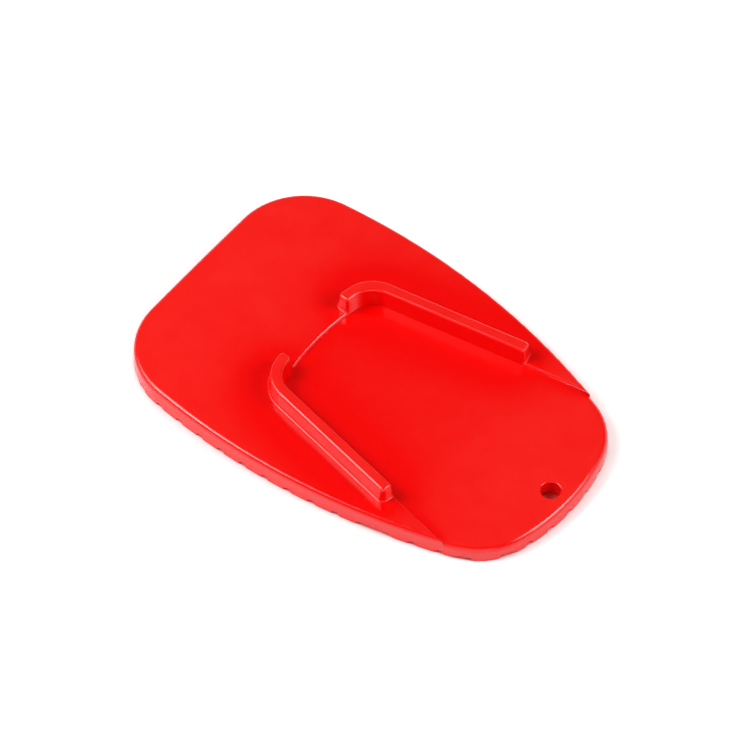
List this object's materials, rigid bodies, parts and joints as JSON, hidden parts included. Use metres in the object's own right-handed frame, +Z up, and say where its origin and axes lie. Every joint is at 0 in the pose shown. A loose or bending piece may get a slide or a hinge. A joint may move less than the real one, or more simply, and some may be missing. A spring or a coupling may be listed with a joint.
{
  "type": "kickstand foot enlarger",
  "caption": "Flat rounded plate that spreads a kickstand's load on soft ground, with hooked ribs that hold the stand's foot, a cord hole at the nose and a lugged underside.",
  "frame": {"origin": "centre of the pad's plan, on the ground under its lugs", "axes": "+X along the pad towards its nose and cord hole, +Y across it, +Z up out of the deck"},
  "size_m": [0.105, 0.0694, 0.0091],
  "materials": {
    "red_plastic": "glossy moulded red"
  },
  "bodies": {
    "root": {"stand_pad": "red_plastic"}
  },
  "joints": []
}
